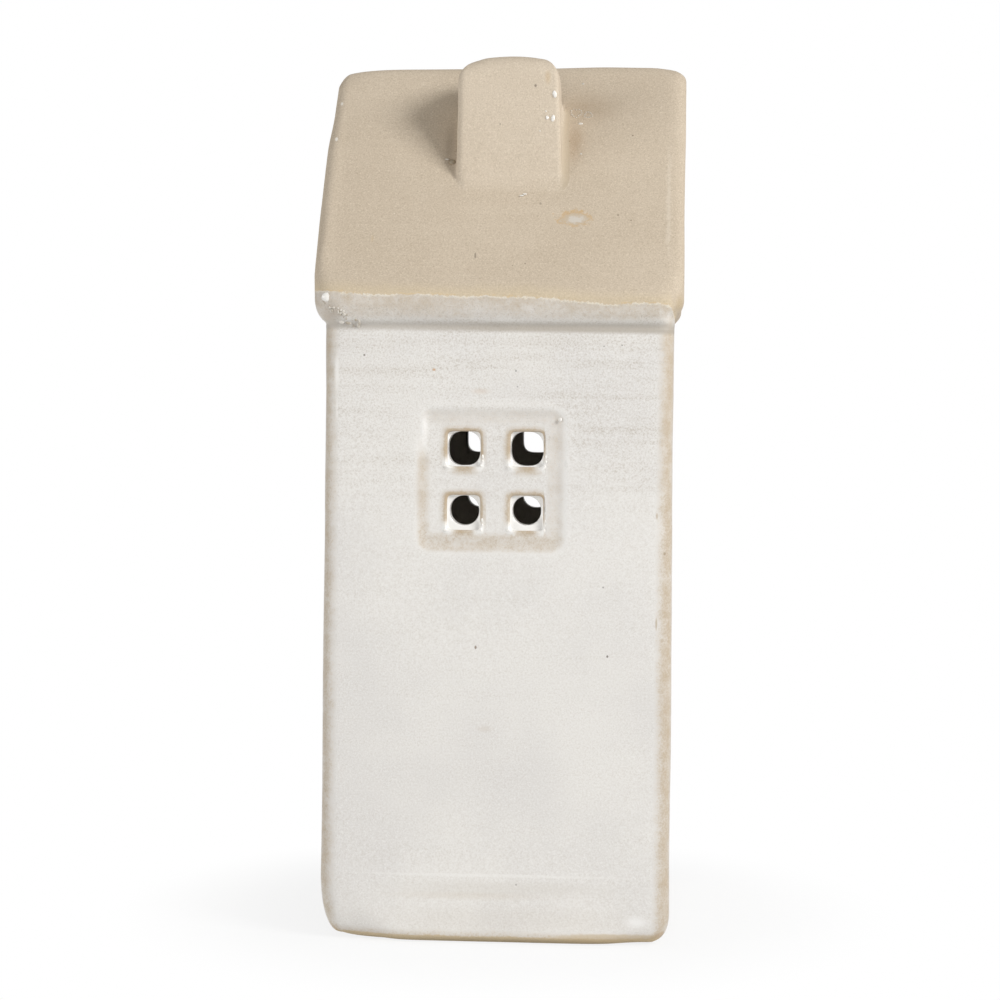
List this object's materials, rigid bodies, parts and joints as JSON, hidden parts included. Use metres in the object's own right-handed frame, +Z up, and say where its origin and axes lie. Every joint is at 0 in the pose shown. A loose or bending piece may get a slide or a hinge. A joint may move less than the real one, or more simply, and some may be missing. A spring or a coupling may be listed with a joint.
{
  "type": "tealight house",
  "caption": "Tall square stoneware house for a tealight, with a gabled roof, a chimney, a four-pane window in front and back and an arched doorway behind.",
  "frame": {"origin": "centre of the foot, on the surface that the house stands on", "axes": "+Z up, the window front faces -Y and the rear doorway faces +Y, +X to the right seen from the front"},
  "size_m": [0.0686, 0.0686, 0.1659],
  "materials": {
    "white_glaze": "satin off-white glaze that breaks to beige at the edges, over speckled stoneware",
    "bare_clay": "unglazed matt beige stoneware with fine specks",
    "cup_aluminium": "pressed thin sheet, bright",
    "candle_wax": "white paraffin wax, waxy sheen",
    "cotton_wick": "braided cotton, dipped in wax",
    "tinned_steel": "thin tinned sheet"
  },
  "bodies": {
    "house": {"house_walls": "white_glaze", "floor": "bare_clay", "roof": "bare_clay", "chimney": "bare_clay"},
    "tealight": {"tealight_cup": "cup_aluminium", "tealight_wax": "candle_wax", "tealight_wick": "cotton_wick", "wick_sustainer": "tinned_steel"}
  },
  "joints": [
    {"name": "tealight_slide", "type": "slide", "parent": "house", "child": "tealight", "axis": [0, 1, 0], "range_m": [0, 0.09]}
  ]
}
